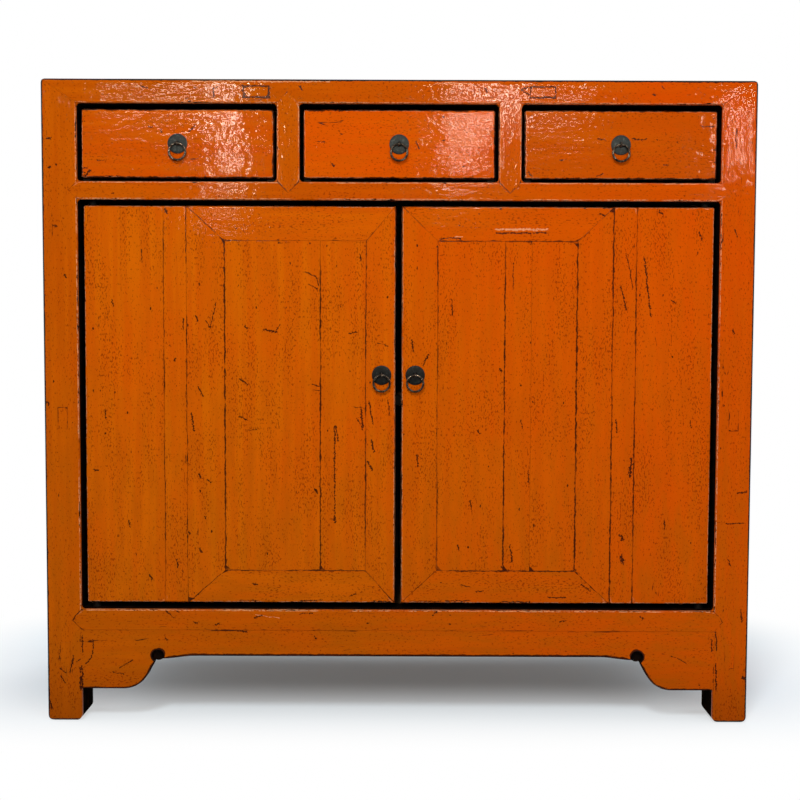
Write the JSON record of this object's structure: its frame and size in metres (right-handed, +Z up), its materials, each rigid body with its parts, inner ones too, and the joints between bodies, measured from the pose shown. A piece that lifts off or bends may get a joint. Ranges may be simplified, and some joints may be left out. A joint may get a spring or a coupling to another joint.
{
  "type": "cabinet",
  "caption": "Low lacquered cabinet with drawers above a pair of framed doors, iron ring pulls, legs flush with the case and a shaped apron between the feet.",
  "frame": {"origin": "on the floor, at the middle of the cabinet's plan", "axes": "+X to the viewer's right along the width, the front faces -Y, +Z up"},
  "size_m": [1, 0.42, 0.908],
  "materials": {
    "lacquer": "glossy worn orange lacquer",
    "bare_wood": "aged bare softwood",
    "iron": "blackened wrought iron"
  },
  "bodies": {
    "carcass": {"apron_front": "lacquer", "back_boards": "bare_wood", "bottom_rail_front": "lacquer", "drawer_divider_left": "lacquer", "drawer_divider_right": "lacquer", "drawer_guides": "bare_wood", "drawer_runners": "bare_wood", "floor_boards": "bare_wood", "leg_front_left": "lacquer", "leg_front_right": "lacquer", "leg_rear_left": "lacquer", "leg_rear_right": "lacquer", "middle_rail_front": "lacquer", "rear_rails": "bare_wood", "shelf_boards": "bare_wood", "side_panel_boards_left": "lacquer", "side_panel_boards_right": "lacquer", "side_rails_left": "lacquer", "side_rails_right": "lacquer", "top_battens": "bare_wood", "top_boards": "lacquer", "top_rail_front": "lacquer", "top_rail_left": "lacquer", "top_rail_rear": "lacquer", "top_rail_right": "lacquer"},
    "drawer_left": {"drawer_left_back": "bare_wood", "drawer_left_bottom": "bare_wood", "drawer_left_front": "lacquer", "drawer_left_pull_plate": "iron", "drawer_left_sides": "bare_wood"},
    "drawer_left_ring": {"drawer_left_pull_ring": "iron"},
    "drawer_middle": {"drawer_middle_back": "bare_wood", "drawer_middle_bottom": "bare_wood", "drawer_middle_front": "lacquer", "drawer_middle_pull_plate": "iron", "drawer_middle_sides": "bare_wood"},
    "drawer_middle_ring": {"drawer_middle_pull_ring": "iron"},
    "drawer_right": {"drawer_right_back": "bare_wood", "drawer_right_bottom": "bare_wood", "drawer_right_front": "lacquer", "drawer_right_pull_plate": "iron", "drawer_right_sides": "bare_wood"},
    "drawer_right_ring": {"drawer_right_pull_ring": "iron"},
    "door_left": {"door_left_battens": "bare_wood", "door_left_meeting_stile": "lacquer", "door_left_panel": "lacquer", "door_left_panel_stile": "lacquer", "door_left_planks": "lacquer", "door_left_pull_plate": "iron", "door_left_rails": "lacquer"},
    "door_left_ring": {"door_left_pull_ring": "iron"},
    "door_right": {"door_right_battens": "bare_wood", "door_right_meeting_stile": "lacquer", "door_right_panel": "lacquer", "door_right_panel_stile": "lacquer", "door_right_planks": "lacquer", "door_right_pull_plate": "iron", "door_right_rails": "lacquer"},
    "door_right_ring": {"door_right_pull_ring": "iron"}
  },
  "joints": [
    {"name": "drawer_left_slide", "type": "slide", "parent": "carcass", "child": "drawer_left", "axis": [0, -1, 0], "range_m": [0, 0.28]},
    {"name": "drawer_middle_slide", "type": "slide", "parent": "carcass", "child": "drawer_middle", "axis": [0, -1, 0], "range_m": [0, 0.28]},
    {"name": "drawer_right_slide", "type": "slide", "parent": "carcass", "child": "drawer_right", "axis": [0, -1, 0], "range_m": [0, 0.28]},
    {"name": "door_left_hinge", "type": "hinge", "parent": "carcass", "child": "door_left", "pos_m": [-0.433, -0.189, 0.45], "axis": [0, 0, -1], "range_deg": [0, 100]},
    {"name": "door_right_hinge", "type": "hinge", "parent": "carcass", "child": "door_right", "pos_m": [0.433, -0.189, 0.45], "axis": [0, 0, 1], "range_deg": [0, 100]},
    {"name": "drawer_left_ring_swing", "type": "hinge", "parent": "drawer_left", "child": "drawer_left_ring", "pos_m": [-0.3105, -0.2055, 0.81925], "axis": [-1, 0, 0], "range_deg": [0, 170]},
    {"name": "drawer_middle_ring_swing", "type": "hinge", "parent": "drawer_middle", "child": "drawer_middle_ring", "pos_m": [0, -0.2055, 0.81925], "axis": [-1, 0, 0], "range_deg": [0, 170]},
    {"name": "drawer_right_ring_swing", "type": "hinge", "parent": "drawer_right", "child": "drawer_right_ring", "pos_m": [0.3105, -0.2055, 0.81925], "axis": [-1, 0, 0], "range_deg": [0, 170]},
    {"name": "door_left_ring_swing", "type": "hinge", "parent": "door_left", "child": "door_left_ring", "pos_m": [-0.02375, -0.2035, 0.49573], "axis": [-1, 0, 0], "range_deg": [0, 170]},
    {"name": "door_right_ring_swing", "type": "hinge", "parent": "door_right", "child": "door_right_ring", "pos_m": [0.02375, -0.2035, 0.49573], "axis": [-1, 0, 0], "range_deg": [0, 170]}
  ]
}
